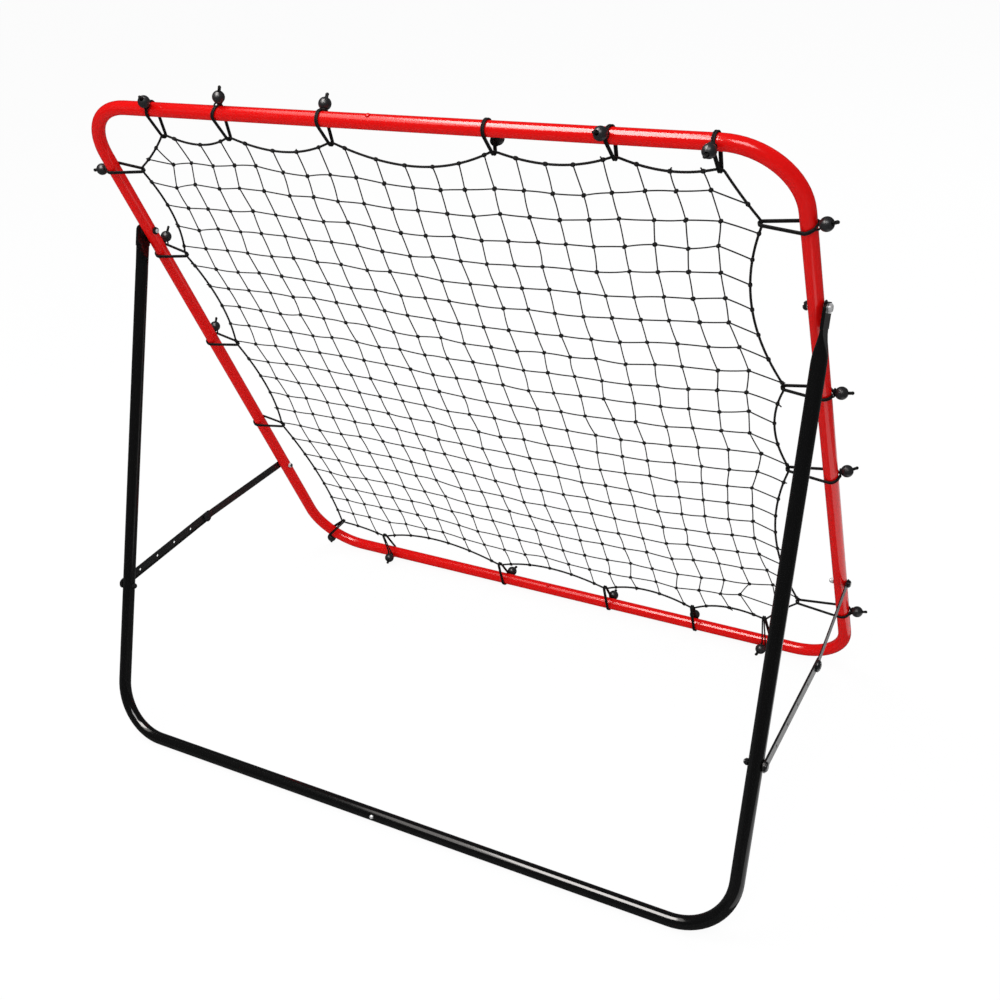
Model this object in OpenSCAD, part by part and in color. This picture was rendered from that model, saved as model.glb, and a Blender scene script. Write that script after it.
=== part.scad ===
// Pitch back rebounder. A square net frame of round steel tube leans forward
// over a U-shaped support of the same tube. The support's flattened leg tops
// turn on bolts through the net frame's sides, and a telescoping brace on each
// side sets the angle between the two. The net hangs on a border rope, which
// ball bungees tie to the frame.
//
// Millimetres, +Z up, X along the tubes that lie on the ground, and -Y towards
// the player. The origin is on the ground, under the middle of the object.

/* [Net frame] */
// Outside width of the net frame
frame_w = 1016; // [840:1:1240]
// Outside height of the net frame, measured along its slope
frame_h = 1016; // [840:1:1240]
// Angle of the net frame above the ground
lean = 70; // [64:0.5:76]
// Centreline radius of the net frame's bends
frame_bend_r = 85; // [65:1:105]

/* [Tube] */
// Outside diameter of the tube
tube_d = 19; // [16:0.5:23]
// Wall of the tube
tube_wall = 1; // [0.8:0.1:1.3]
// Length of the necked end that plugs the two halves of a frame together
spigot_l = 45; // [38:1:60]

/* [Support] */
// Distance of the leg pivots below the centreline of the top tube
pivot_drop = 224; // [180:1:270]
// Angle between the legs and the net frame at the pivots
spread = 43.5; // [38:0.5:50]
// Centreline radius of the support's bends
leg_bend_r = 80; // [60:1:100]
// Width of a leg's flattened end
crimp_w = 27; // [22:0.5:32]
// Thickness of a leg's flattened end
crimp_t = 4; // [3:0.5:5]

/* [Braces] */
// Height of the brace bolts on the net frame above its bottom tube
brace_foot = 218; // [180:1:260]
// Distance between two holes of the channel
hole_pitch = 43; // [36:1:50]
// Distance of the first hole from the bolt that the channel turns on
first_hole = 41; // [34:1:50]
// Number of holes in the channel
hole_count = 5; // [4:1:5]
// Width of the channel
channel_w = 16; // [14:0.5:19]
// Depth of the channel's flanges below its floor
flange_h = 1.8; // [1.5:0.1:2.4]
// Sheet of the channel
channel_t = 1; // [0.8:0.1:1.3]
// Thickness of the strap that slides in the channel
strap_t = 1.5; // [1.2:0.1:1.8]
// Diameter of the lock screws' heads
lock_head_d = 17; // [14:0.5:20]

/* [Net] */
// Gaps of the net across and up
net_gaps = 17; // [11:2:17]
// Width of a net strand
strand_w = 1.8; // [1.4:0.1:2.4]
// Width of a net knot
knot_w = 5; // [4:0.5:7]
// Diameter of the border rope
rope_d = 3.2; // [2.6:0.1:4]
// Slack of the border rope: 1 lets it sag between the ties as far as listed
rope_slack = 1; // [0.5:0.05:1.1]

/* [Ball bungees] */
// Diameter of a ball
ball_d = 16.5; // [14:0.5:20]
// Diameter of the elastic cord
loop_d = 2.4; // [2:0.1:2.8]
// Length of cord that shows past the ball
loop_tail = 5; // [3:0.5:8]

/* [Hidden] */
$fn = 48;
fit_gap = 0.05;
seat_gap = 0.3;
weave_gap = 0.6;
cord_sides = 6;

tube_r = tube_d / 2;
bore_d = tube_d - 2 * tube_wall;
spigot_d = bore_d - 2 * fit_gap;
clip_bore_d = spigot_d - 2 * tube_wall;
seam_gap = 0.2;
neck_t = 2;

// Bolts: shank radii, heads and nuts
pivot_shank_r = 3;
brace_shank_r = 2.5;
lock_shank_r = 2;
pivot_head_d = 12;
brace_head_d = 11;
head_t = 3.5;
pivot_nut_w = 10;
brace_nut_w = 8;
nut_t = 4;
washer_t = 1;
lock_head_t = 4;
leg_head_d = 13;
leg_head_t = 2.6;

// Net frame centreline: half width, height, and the ends of the straight runs
frame_hw = frame_w / 2 - tube_r;
frame_hh = frame_h - tube_d;
straight_x = frame_hw - frame_bend_r;
straight_v = frame_hh - 2 * frame_bend_r;

// Planes across the width: frame side, washer, flattened leg end and leg side
frame_side_x = frame_hw + tube_r;
washer_x = frame_side_x + seat_gap;
crimp_x = washer_x + washer_t;
leg_x = crimp_x + crimp_t / 2;
leg_side_x = leg_x + tube_r;
channel_in_x = leg_side_x + seat_gap;
floor_in_x = channel_in_x + flange_h;
floor_out_x = floor_in_x + channel_t;
strap_lock_x = floor_in_x - 2 * fit_gap - strap_t;
strap_foot_x = frame_side_x + seat_gap;

// Side view. The net frame stands on the cords under its bottom tube, and the
// support on its own tube. A leg and the net frame have their brace bolts at
// the same distance from the pivot, so the brace is the base of a triangle
// with two equal sides, and its two parts stay in line as the legs turn.
ball_seat = tube_r + seat_gap + loop_d;
net_z = ball_seat;
leg_rise = 180 - lean - spread;
pivot_v = frame_hh - pivot_drop;
pivot_z = net_z + pivot_v * sin(lean);
leg_len = (pivot_z - tube_r) / sin(leg_rise);
ground_spread = pivot_v * cos(lean) + leg_len * cos(leg_rise);
reach = pivot_v - brace_foot;
brace_rise = (leg_rise - lean) / 2;
brace_len = 2 * reach * sin(spread / 2);
lock_at = first_hole + (hole_count - 1) * hole_pitch;
channel_end = lock_at + 13;

// Ball bungees: how far a ball's centre and a tail's tip are from the tube's
// centreline, and the way round the tube in which the rear balls lie
cord_r1 = tube_r + seat_gap + loop_d / 2;
rear_ball = -76;
ball_at = ball_seat + seat_gap + ball_d / 2;
tail_at = ball_at + ball_d / 2 + loop_tail;
cord_split = loop_d / 2 + seat_gap;

// The middle of the depth, from the support's tube to the rear tails, is Y = 0
rear_reach = (tail_at + cord_split + loop_d / 2) * cos(rear_ball + lean);
net_y = (ground_spread + tube_r - rear_reach) / 2;
support_y = net_y - ground_spread;
pivot_y = net_y - pivot_v * cos(lean);
channel_y = pivot_y - reach * cos(leg_rise);
channel_z = pivot_z - reach * sin(leg_rise);

// Channel, strap and leg ends
strap_w = channel_w - 2 * channel_t - 8 * fit_gap;
end_r = channel_w / 2;
crimp_tip = 7;
crimp_corner = 8;
crimp_flat = 24;
crimp_taper = 36;
crimp_steps = 6;
bend_run = 8;

// Snap buttons
button_r = 3;
button_x = 21;
button_out = 2;
flange_r = button_r + 1;
flange_t = 0.8;
flange_z = sqrt(pow(clip_bore_d / 2, 2) - pow(flange_r, 2)) - seat_gap - flange_t;
clip_t = 0.6;
clip_w = 7;
clip_l = 30;

// Ties, each with five values: its share of the straight run; the distance of
// the border rope from the tube's centreline; the ball's angle round the tube,
// from outward to frontward; how far the ball hangs along the tube from the
// tie; and the sag of the rope from here to the next tie, counterclockwise, as
// a share of the distance between them. The third left tie is below the pivot.
// A ball whose angle is beyond the cord's hold on the tube hangs on the strand
// from the tube to the rope, as the fourth top ball does at the rear.
below_pivot = (pivot_v - 43 - frame_bend_r) / straight_v;
top_ties = [[-0.889, 42, 25, -6, 0.026], [-0.617, 39, -20, -8, 0.128],
            [-0.224, 36, -68, 2, 0.118], [0.332, 33, -163, 0, 0.13],
            [0.7, 29, 46, 3, 0.1], [0.988, 36, 78, 0, 0.096]];
right_ties = [[0.067, 67, -5, 5, 0.083], [0.4585, 56, -28, 4, 0.1],
              [0.6546, 49, -14, -1, 0.1], [0.974, 52, 10, 10, 0.017]];
bottom_ties = [[0.898, 68, 106, -5, 0.022], [0.604, 50, rear_ball, -10, 0.145],
               [0.229, 47, rear_ball, -2, 0.155], [-0.2605, 43, rear_ball, 3, 0.124],
               [-0.839, 49, 112, 6, 0.133]];
left_ties = [[0.307, 49, -38, 0, 0.05], [0.55, 49, -78, -9, 0.07],
             [below_pivot, 46.5, -90, -12, 0.081], [0.973, 54, 11, 1, 0.1]];
corner_tie = [0, 59, 10, 9, 0.043];

// ---- Places ----

// Net frame plane: X across, Y up the slope from the bottom tube, Z frontward
module in_net_frame() {
    translate([0, net_y, net_z]) rotate([180 - lean, 0, 0]) children();
}

// Support plane: X across, Y up the slope from the ground tube, Z frontward
module in_support() {
    translate([0, support_y, tube_r]) rotate([leg_rise, 0, 0]) children();
}

// Brace on the right side: X from the channel's bolt to the strap's bolt,
// Z across the whole object from its middle plane
module in_brace() {
    translate([0, channel_y, channel_z]) rotate([brace_rise, 0, 0]) rotate([90, 0, 90]) children();
}

module both_sides() {
    children();
    mirror([1, 0, 0]) children();
}

// ---- Shapes ----

module pipe(l, d, bore) {
    difference() {
        cylinder(d = d, h = l);
        translate([0, 0, -1]) cylinder(d = bore, h = l + 2);
    }
}

// Pipe along X from x0 to x1
module pipe_x(x0, x1, d, bore) {
    translate([x0, 0, 0]) rotate([0, 90, 0]) pipe(x1 - x0, d, bore);
}

// Quarter bend round the origin, from the X axis to the Y axis
module bend(r) {
    rotate_extrude(angle = 90) translate([r, 0]) difference() {
        circle(d = tube_d);
        circle(d = bore_d);
    }
}

// Drill across the whole width at a height of the current plane
module cross_hole(v, r) {
    translate([0, v, 0]) rotate([0, 90, 0]) cylinder(r = r, h = 2 * leg_side_x, center = true);
}

function arc(c, r, a0, a1, n) = [for (i = [0:n])
    let (a = a0 + (a1 - a0) * i / n) [c[0] + r * cos(a), c[1] + r * sin(a)]];

// Strip with round ends from x0 to x1, where the ends have the radius r
module strip(x0, x1, r) {
    polygon(concat(arc([x1 - r, 0], r, -90, 90, 12), arc([x0 + r, 0], r, 90, 270, 12)));
}

// Bolt along -Z with the underside of its low round head at z = 0
module bolt(r, l, head_d, head_h) {
    translate([0, 0, -l]) cylinder(r = r, h = l + head_h / 2);
    cylinder(d = head_d, h = head_h / 2);
    translate([0, 0, head_h / 2]) cylinder(d1 = head_d, d2 = head_d * 0.7, h = head_h / 2);
}

// Lock nut: a hexagon with the round collar of its locking ring
module nut(w, t, bore_r) {
    difference() {
        union() {
            cylinder(d = w / cos(30), h = t * 0.7, $fn = 6);
            translate([0, 0, t * 0.7]) cylinder(d = w * 0.9, h = t * 0.3);
        }
        translate([0, 0, -1]) cylinder(r = bore_r, h = t + 2);
    }
}

module ring(d, bore_r, t) {
    difference() {
        cylinder(d = d, h = t);
        translate([0, 0, -1]) cylinder(r = bore_r, h = t + 2);
    }
}

// ---- Frames ----

// Half of the net frame to the right of the seams, which lie at x0
module frame_half(x0) {
    difference() {
        union() {
            for (v = [0, frame_hh])
                translate([0, v, 0]) pipe_x(x0, straight_x, tube_d, bore_d);
            translate([straight_x, frame_hh - frame_bend_r, 0]) bend(frame_bend_r);
            translate([straight_x, frame_bend_r, 0]) rotate([0, 0, -90]) bend(frame_bend_r);
            translate([frame_hw, frame_bend_r, 0]) rotate([-90, 0, 0]) pipe(straight_v, tube_d, bore_d);
        }
        cross_hole(pivot_v, pivot_shank_r + fit_gap);
        cross_hole(brace_foot, brace_shank_r + fit_gap);
    }
}

// Half of the support to the right of its seam, with its flattened leg top
module leg_half(x0) {
    tube_top = leg_len - crimp_flat - crimp_taper;
    brace_v = leg_len - reach;
    difference() {
        union() {
            pipe_x(x0, leg_x - leg_bend_r, tube_d, bore_d);
            translate([leg_x - leg_bend_r, leg_bend_r, 0]) rotate([0, 0, -90]) bend(leg_bend_r);
            translate([leg_x, leg_bend_r, 0]) rotate([-90, 0, 0])
                pipe(tube_top - leg_bend_r, tube_d, bore_d);
            leg_top(tube_top);
        }
        cross_hole(leg_len, pivot_shank_r + fit_gap);
        cross_hole(brace_v, brace_shank_r + fit_gap);
    }
}

// Tube pressed flat to the share k of its full flatness: the outline at the
// height v, with a round edge on both sides, a hair smaller than tube and plate
function pressed(v, k) = let (t = tube_d + (crimp_t - tube_d) * k - 0.3, e = (crimp_w - crimp_t) * k / 2)
    [for (i = [0:31]) let (a = 360 * (i + 0.5) / 32)
        [leg_x + t / 2 * cos(a), v, -e * sign(sin(a)) - t / 2 * sin(a)]];

// Tube pressed flat: a smooth taper from round to flat, then a plate with a
// round tip
module leg_top(tube_top) {
    flat_from = leg_len - crimp_flat;
    half = crimp_w / 2;
    c = half - crimp_corner;
    tip = leg_len + crimp_tip - crimp_corner;
    rings = [for (i = [0:crimp_steps]) let (s = i / crimp_steps)
        each pressed(tube_top + crimp_taper * s, s * s * (3 - 2 * s))];
    sides = [for (i = [0:crimp_steps - 1], j = [0:31])
        let (a = 32 * i + j, b = 32 * i + (j + 1) % 32)
        each [[a, a + 32, b], [b, a + 32, b + 32]]];
    polyhedron(points = rings, faces = concat([[for (j = [0:31]) j]], sides,
                                              [[for (j = [31:-1:0]) 32 * crimp_steps + j]]));
    translate([crimp_x, 0, 0]) rotate([90, 0, 90]) linear_extrude(crimp_t)
        polygon(concat([[flat_from, -half]], arc([tip, -c], crimp_corner, -90, 0, 6),
                       arc([tip, c], crimp_corner, 0, 90, 6), [[flat_from, half]]));
}

// Necked end of a right half, which plugs into the left half
module spigot() {
    pipe_x(seam_gap, seam_gap + neck_t, tube_d, clip_bore_d);
    pipe_x(-spigot_l, seam_gap, spigot_d, clip_bore_d);
}

// Hole for a snap button, which stands up along Z
module button_hole() {
    translate([-button_x, 0, 0]) cylinder(r = button_r + seat_gap, h = tube_d);
}

// Snap button: pin with a domed tip, and a flange that stays under the tube
module snap_button() {
    top = tube_r + button_out;
    translate([-button_x, 0, flange_z]) cylinder(r = flange_r, h = flange_t);
    translate([-button_x, 0, flange_z + flange_t]) cylinder(r = button_r, h = top - 1 - flange_z - flange_t);
    translate([-button_x, 0, top - 1]) cylinder(r1 = button_r, r2 = button_r * 0.6, h = 1);
}

// Leaf spring folded into a V, with one arm under the button
module clip_spring() {
    arm = flange_z - 2 * fit_gap;
    low = -clip_bore_d / 2 + 2;
    x0 = -button_x + 5;
    x1 = x0 - clip_l;
    rotate([90, 0, 0]) linear_extrude(clip_w, center = true)
        polygon([[x0, arm], [x0, arm - clip_t], [x0 - 10, arm - clip_t],
                 [x1 + 3, clip_t / 2], [x1 + 3, -clip_t / 2], [x0, low + clip_t],
                 [x0, low], [x1 + 2, -clip_t * 1.5], [x1, 0], [x1 + 2, clip_t * 1.5],
                 [x0 - 10, arm]]);
}

// ---- Braces ----

// Pressed channel, open towards the object, with its row of lock holes
module channel() {
    difference() {
        translate([0, 0, channel_in_x]) linear_extrude(flange_h + channel_t)
            strip(-end_r, channel_end, end_r);
        translate([0, 0, channel_in_x - 1]) linear_extrude(flange_h + 1)
            strip(-end_r - 20, channel_end + 20, end_r - channel_t);
        translate([0, 0, channel_in_x]) cylinder(r = brace_shank_r + fit_gap, h = flange_h + 2);
        for (i = [0:hole_count - 1]) translate([first_hole + i * hole_pitch, 0, channel_in_x])
            cylinder(r = lock_shank_r, h = flange_h + 2);
    }
}

// Flat strap: straight where it lies in the channel, and set in to meet the
// side of the net frame
module strap() {
    x0 = lock_at;
    x1 = brace_len;
    r = strap_w / 2;
    t = strap_t;
    difference() {
        intersection() {
            rotate([90, 0, 0]) linear_extrude(2 * r, center = true)
                polygon([[x0 - r, strap_lock_x], [channel_end + 2, strap_lock_x],
                         [x1 - bend_run, strap_foot_x], [x1 + r, strap_foot_x],
                         [x1 + r, strap_foot_x + t], [x1 - bend_run, strap_foot_x + t],
                         [channel_end + 2, strap_lock_x + t], [x0 - r, strap_lock_x + t]]);
            translate([0, 0, strap_foot_x - 1]) linear_extrude(strap_lock_x - strap_foot_x + t + 2)
                strip(x0 - r, x1 + r, r);
        }
        translate([x0, 0, strap_foot_x]) cylinder(r = lock_shank_r, h = floor_out_x - strap_foot_x);
        translate([x1, 0, strap_foot_x - 1])
            cylinder(r = brace_shank_r + fit_gap, h = floor_out_x - strap_foot_x);
    }
}

// Lock screw with a wide flat head, through the strap and the channel's floor
module lock_screw() {
    bolt(lock_shank_r - fit_gap, floor_out_x - strap_lock_x, lock_head_d, lock_head_t);
    translate([0, 0, lock_head_t]) cylinder(r = lock_shank_r + 1.5, h = 0.8);
}

// ---- Net ----

// Centre of a tube or a bend where a tie goes round it, and where the rope is
function top_point(t) = [t[0] * straight_x, frame_hh - t[1]];
function bottom_point(t) = [t[0] * straight_x, t[1]];
function right_point(t) = [frame_hw - t[1], frame_bend_r + t[0] * straight_v];
function left_point(t) = [t[1] - frame_hw, frame_bend_r + t[0] * straight_v];
function corner_point(t) = let (k = (frame_bend_r - t[1]) * sin(45))
    [-straight_x - k, frame_bend_r - k];

// The ties in order, counterclockwise as seen from the front, each with the
// direction in which the rope passes it and the sag of the rope after it
function back(list) = [for (i = [len(list) - 1:-1:0]) list[i]];
apexes = concat([for (t = right_ties) [right_point(t), 90, t[4]]],
                [for (t = back(top_ties)) [top_point(t), 180, t[4]]],
                [for (t = back(left_ties)) [left_point(t), 270, t[4]]],
                [[corner_point(corner_tie), 315, corner_tie[4]]],
                [for (t = back(bottom_ties)) [bottom_point(t), 0, t[4]]]);

// The rope lies straight within a tie, and bows into the net between two ties
// as a shallow parabola
span_steps = 6;
tie_half = 3.5;
function unit(v) = v / norm(v);
function left_of(v) = [-v[1], v[0]];
function beside(tie, side) = tie[0] + side * tie_half * [cos(tie[1]), sin(tie[1])];
function rope_point(a, b, k, sag) = let (t = k / span_steps, d = b - a)
    a + d * t + left_of(d) * sag * rope_slack * 4 * t * (1 - t);
function next(list, i) = list[(i + 1) % len(list)];
function prev(list, i) = list[(i + len(list) - 1) % len(list)];
rope_path = [for (i = [0:len(apexes) - 1], k = [0:span_steps])
    rope_point(beside(apexes[i], 1), beside(next(apexes, i), -1), k, apexes[i][2])];

// Mitred direction towards the inside of a closed path at its point i
function inward(path, i) = let (
    a = left_of(unit(path[i] - prev(path, i))),
    b = left_of(unit(next(path, i) - path[i])),
    m = unit(a + b)) m / (m * a);
function inset(path, d) = [for (i = [0:len(path) - 1]) path[i] + inward(path, i) * d];

// Closed tube along a path, whose points are given in the XY plane. A list of
// rises lifts each point out of the plane.
module closed_cord(path, r, sides, rises = []) {
    n = len(path);
    rings = [for (i = [0:n - 1]) let (m = inward(path, i), z = len(rises) > 0 ? rises[i] : 0)
        for (j = [0:sides - 1]) let (a = 360 * (j + 0.5) / sides)
        [path[i][0] + r * cos(a) * m[0], path[i][1] + r * cos(a) * m[1], z + r * sin(a)]];
    quads = [for (i = [0:n - 1], j = [0:sides - 1])
        [i * sides + j, i * sides + (j + 1) % sides,
         ((i + 1) % n) * sides + (j + 1) % sides, ((i + 1) % n) * sides + j]];
    polyhedron(points = rings, faces = [for (q = quads, f = [[q[0], q[1], q[2]], [q[0], q[2], q[3]]]) f]);
}

// Upright strand with a lozenge, the knot, where each level strand crosses it
module knotted_strand(x, v0, v1, levels) {
    w = strand_w / 2;
    k = knot_w / 2;
    right_edge = [for (v = levels) each [[x + w, v - k], [x + k, v], [x + w, v + k]]];
    left_edge = [for (i = [len(levels) - 1:-1:0])
        let (v = levels[i]) each [[x - w, v + k], [x - k, v], [x - w, v - k]]];
    polygon(concat([[x + w, v0]], right_edge, [[x + w, v1], [x - w, v1]], left_edge, [[x - w, v0]]));
}

// Net within the border rope: strands at an even pitch, cut along the rope
module net() {
    edge = inset(rope_path, rope_d / 2 + seat_gap);
    x1 = max([for (p = edge) p[0]]);
    x0 = min([for (p = edge) p[0]]);
    v1 = max([for (p = edge) p[1]]);
    v0 = min([for (p = edge) p[1]]);
    levels = [for (i = [1:net_gaps - 1]) v0 + (v1 - v0) * i / net_gaps];
    linear_extrude(strand_w, center = true) intersection() {
        difference() {
            polygon(edge);
            for (a = apexes) translate(a[0]) circle(r = rope_d / 2 + weave_gap + loop_d + seat_gap);
        }
        union() {
            for (i = [1:net_gaps - 1])
                knotted_strand(x0 + (x1 - x0) * i / net_gaps, v0 - 5, v1 + 5, levels);
            for (v = levels) translate([x0 - 5, v - strand_w / 2]) square([x1 - x0 + 10, strand_w]);
        }
    }
}

// ---- Ball bungees ----

// Angle at which the line that touches the loop's two circles, round the tube
// and round the rope at distance d, leaves the tube
cord_r2 = rope_d / 2 + weave_gap + loop_d / 2;
function leave_at(d) = 180 - acos((cord_r1 - cord_r2) / d);

// Direction in which a ball points, and its shift along the strand towards the
// rope when its angle phi is beyond the hold on the tube
function ball_turn(d, phi) = min(leave_at(d), max(-leave_at(d), phi));
function ball_shift(d, phi) = let (a = ball_turn(d, phi), s = ball_at * abs(phi - a) * PI / 180)
    [-s * abs(sin(a)), a < 0 ? -s * cos(a) : s * cos(a)];

// Taut loop in the plane across a tube: round the rope at distance d, round the
// tube, and out through the ball, which lies at the angle phi
function loop_path(d, phi) = let (
    r1 = cord_r1,
    r2 = cord_r2,
    h = cord_split,
    f = loop_d / 2 + 0.4,
    leave = leave_at(d),
    mid = ball_turn(d, phi),
    shift = ball_shift(d, phi),
    turn = atan((h + f) / r1),
    slack = atan(max(0, h + f - norm(shift)) / r1),
    first = norm(shift) > h + f ? 0 : 1,
    u = [cos(mid), sin(mid)],
    w = [-sin(mid), cos(mid)],
    lo = mid - (phi > leave ? slack : turn),
    hi = mid + (phi < -leave ? slack : turn),
    n_lo = lo > -leave ? max(1, ceil((lo + leave) / 30)) : 0,
    n_hi = hi < leave ? max(1, ceil((leave - hi) / 30)) : 0)
    concat(
        [for (a = [90:-60:-90]) shift + u * (tail_at + h * cos(a)) + w * h * sin(a)],
        [for (b = [0:45:90]) shift + u * (r1 + f - f * sin(b)) - w * (h + f - f * cos(b))],
        n_lo == 0 ? [] : [for (i = [first:n_lo]) let (a = lo - (lo + leave) * i / n_lo) [r1 * cos(a), r1 * sin(a)]],
        [for (i = [0:4]) let (a = -leave - (360 - 2 * leave) * i / 4) [r2 * cos(a) - d, r2 * sin(a)]],
        n_hi == 0 ? [] : [for (i = [0:n_hi - first]) let (a = leave - (leave - hi) * i / n_hi) [r1 * cos(a), r1 * sin(a)]],
        [for (b = [90:-45:0]) shift + u * (r1 + f - f * sin(b)) + w * (h + f - f * cos(b))]);

// Places a tie: its origin on the tube's centreline, X outward, Z frontward
module at_tie(side, t) {
    k = frame_bend_r * sin(45);
    if (side == "top") translate([top_point(t)[0], frame_hh, 0]) rotate([0, 0, 90]) children();
    if (side == "bottom") translate([bottom_point(t)[0], 0, 0]) rotate([0, 0, -90]) children();
    if (side == "right") translate([frame_hw, right_point(t)[1], 0]) children();
    if (side == "left") translate([-frame_hw, left_point(t)[1], 0]) rotate([0, 0, 180]) children();
    if (side == "corner") translate([-straight_x - k, frame_bend_r - k, 0]) rotate([0, 0, 225]) children();
}

// The loop runs askew from the rope to a ball that hangs along the tube
module loop(side, t) {
    mid = ball_turn(t[1], t[2]);
    shift = ball_shift(t[1], t[2]);
    u = [cos(mid), sin(mid)];
    path = back(loop_path(t[1], t[2]));
    near = min(0.75 * t[1], max(0, -shift[0] - u[0] * (tail_at + 2)) + min(4, norm(shift)));
    color("black") in_net_frame() at_tie(side, t) rotate([90, 0, 0])
        closed_cord(path, loop_d / 2, cord_sides,
                    [for (p = path) -t[3] / ball_at * max(0, p * u) *
                        (1 - max(0, -p[0] - near) / (t[1] - near))]);
}

module ball(side, t) {
    shift = ball_shift(t[1], t[2]);
    in_net_frame() at_tie(side, t) translate([shift[0], 0, shift[1]])
        rotate([0, 90 - ball_turn(t[1], t[2]), 0]) translate([0, t[3], ball_at])
        rotate([-atan(t[3] / ball_at), 0, 0]) difference() {
            sphere(d = ball_d);
            cylinder(r = cord_split + loop_d / 2 + seat_gap, h = ball_d + 2, center = true);
        }
}

module balls(side, ties) {
    color("dimgray") for (t = ties) ball(side, t);
}

// ---- Nodes ----

module net_frame_left() {
    color("red") in_net_frame() difference() {
        mirror([1, 0, 0]) frame_half(0);
        translate([0, frame_hh, 0]) rotate([-90, 0, 0]) button_hole();
        rotate([-90, 0, 0]) button_hole();
    }
}

module net_frame_right() {
    color("red") in_net_frame() difference() {
        union() {
            frame_half(seam_gap + neck_t);
            for (v = [0, frame_hh]) translate([0, v, 0]) spigot();
        }
        translate([0, frame_hh, 0]) rotate([-90, 0, 0]) button_hole();
        rotate([-90, 0, 0]) button_hole();
    }
}

module top_snap_button() {
    color("tomato") in_net_frame() translate([0, frame_hh, 0]) rotate([-90, 0, 0]) snap_button();
}

module top_clip_spring() {
    color("silver") in_net_frame() translate([0, frame_hh, 0]) rotate([-90, 0, 0]) clip_spring();
}

module bottom_snap_button() {
    color("tomato") in_net_frame() rotate([-90, 0, 0]) snap_button();
}

module bottom_clip_spring() {
    color("silver") in_net_frame() rotate([-90, 0, 0]) clip_spring();
}

module support_leg_left() {
    color("black") in_support() difference() {
        mirror([1, 0, 0]) leg_half(0);
        button_hole();
    }
}

module support_leg_right() {
    color("black") in_support() difference() {
        union() {
            leg_half(seam_gap + neck_t);
            spigot();
        }
        button_hole();
    }
}

module support_snap_button() {
    color("silver") in_support() snap_button();
}

module support_clip_spring() {
    color("silver") in_support() clip_spring();
}

module pivot_bolts() {
    color("silver") in_net_frame() both_sides() translate([crimp_x + crimp_t + seat_gap, pivot_v, 0])
        rotate([0, 90, 0]) bolt(pivot_shank_r, crimp_t + washer_t + tube_d + nut_t + 2, pivot_head_d, head_t);
}

module pivot_nuts() {
    color("silver") in_net_frame() both_sides() translate([frame_hw - tube_r - seat_gap, pivot_v, 0])
        rotate([0, -90, 0]) nut(pivot_nut_w, nut_t, pivot_shank_r + fit_gap);
}

module pivot_washers() {
    color("black") in_net_frame() both_sides() translate([washer_x, pivot_v, 0])
        rotate([0, 90, 0]) ring(18, pivot_shank_r + fit_gap, washer_t - fit_gap);
}

module brace_channel_left() {
    color("black") mirror([1, 0, 0]) in_brace() channel();
}

module brace_channel_right() {
    color("black") in_brace() channel();
}

module brace_strap_left() {
    color("black") mirror([1, 0, 0]) in_brace() strap();
}

module brace_strap_right() {
    color("black") in_brace() strap();
}

// The left lock screw goes in from the inside, the right one from the outside
module lock_screw_left() {
    color("dimgray") mirror([1, 0, 0]) in_brace() translate([lock_at, 0, channel_in_x - fit_gap])
        mirror([0, 0, 1]) lock_screw();
}

module lock_screw_right() {
    color("dimgray") in_brace() translate([lock_at, 0, floor_out_x + fit_gap]) lock_screw();
}

module leg_brace_bolts() {
    color("dimgray") both_sides() in_brace() translate([0, 0, floor_out_x + 2 * fit_gap])
        bolt(brace_shank_r, floor_out_x - leg_x + tube_r + nut_t + 1.5, leg_head_d, leg_head_t);
}

module leg_brace_nuts() {
    color("silver") both_sides() in_brace() translate([0, 0, leg_x - tube_r - seat_gap])
        rotate([180, 0, 0]) nut(brace_nut_w, nut_t, brace_shank_r + fit_gap);
}

// Spacers that hold each channel off the round side of its leg
module channel_spacers() {
    color("black") both_sides() in_brace() translate([0, 0, channel_in_x])
        ring(12, brace_shank_r + fit_gap, flange_h - 2 * fit_gap);
}

module frame_brace_bolts() {
    color("dimgray") in_net_frame() both_sides()
        translate([strap_foot_x + strap_t + 2 * fit_gap, brace_foot, 0]) rotate([0, 90, 0])
        bolt(brace_shank_r, strap_t + tube_d + nut_t + 2, brace_head_d, head_t);
}

module frame_brace_nuts() {
    color("silver") in_net_frame() both_sides() translate([frame_hw - tube_r - seat_gap, brace_foot, 0])
        rotate([0, -90, 0]) nut(brace_nut_w, nut_t, brace_shank_r + fit_gap);
}

module net_mesh() {
    color("black") in_net_frame() net();
}

module net_border_rope() {
    color("black") in_net_frame() closed_cord(rope_path, rope_d / 2, cord_sides);
}

net_frame_left();
net_frame_right();
top_snap_button();
top_clip_spring();
bottom_snap_button();
bottom_clip_spring();
support_leg_left();
support_leg_right();
support_snap_button();
support_clip_spring();
pivot_bolts();
pivot_nuts();
pivot_washers();
brace_channel_left();
brace_channel_right();
brace_strap_left();
brace_strap_right();
lock_screw_left();
lock_screw_right();
leg_brace_bolts();
leg_brace_nuts();
channel_spacers();
frame_brace_bolts();
frame_brace_nuts();
net_mesh();
net_border_rope();
balls("top", top_ties);  // top_balls
balls("right", right_ties);  // right_balls
union() {  // bottom_balls
    balls("bottom", bottom_ties);
    balls("corner", [corner_tie]);
}
balls("left", left_ties);  // left_balls
loop("top", top_ties[0]);  // top_loop_1
loop("top", top_ties[1]);  // top_loop_2
loop("top", top_ties[2]);  // top_loop_3
loop("top", top_ties[3]);  // top_loop_4
loop("top", top_ties[4]);  // top_loop_5
loop("top", top_ties[5]);  // top_loop_6
loop("right", right_ties[0]);  // right_loop_1
loop("right", right_ties[1]);  // right_loop_2
loop("right", right_ties[2]);  // right_loop_3
loop("right", right_ties[3]);  // right_loop_4
loop("bottom", bottom_ties[0]);  // bottom_loop_1
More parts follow.
